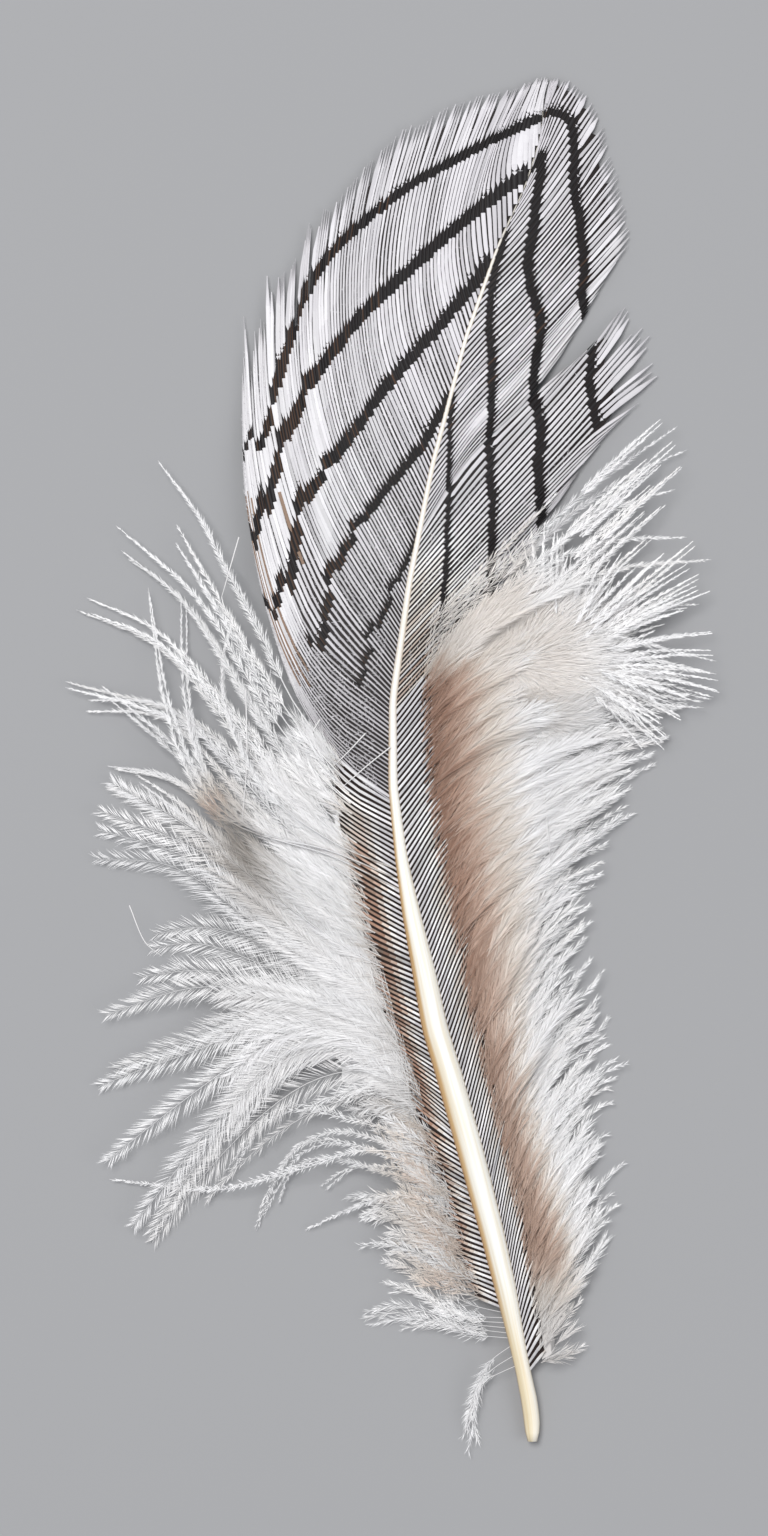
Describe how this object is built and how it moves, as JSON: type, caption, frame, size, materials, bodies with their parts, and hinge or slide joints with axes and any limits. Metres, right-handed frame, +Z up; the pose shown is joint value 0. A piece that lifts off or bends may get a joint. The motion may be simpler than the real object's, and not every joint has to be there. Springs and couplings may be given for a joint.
{
  "type": "barred turkey feather",
  "caption": "Barred black-and-white body feather with a cream shaft and white downy lower half, lying flat, quill end towards -Y.",
  "frame": {"origin": "centre of the feather's bounding box on the surface it lies on", "axes": "+Y along the feather's length from quill to tip, +Z up out of the surface, +X to the feather's right as it lies"},
  "size_m": [0.058, 0.1209, 0.0085],
  "materials": {
    "quill": "smooth ivory-cream keratin, satin, orange-brown along one flank",
    "web": "fine parallel white barbs crossed by thin near-black bars, dark between the barbs near the shaft",
    "down": "soft white fluff of very fine fibres, pinkish brown beside the shaft"
  },
  "bodies": {
    "root": {"shaft": "quill", "vane_left": "web", "vane_right_upper": "web", "vane_right_lower": "web", "down_left_upper": "down", "down_left_middle": "down", "down_left_lower": "down", "tuft_left_base": "down", "wisp_left_base": "down", "down_right_upper": "down", "down_right_middle": "down", "down_right_lower": "down"}
  },
  "joints": []
}
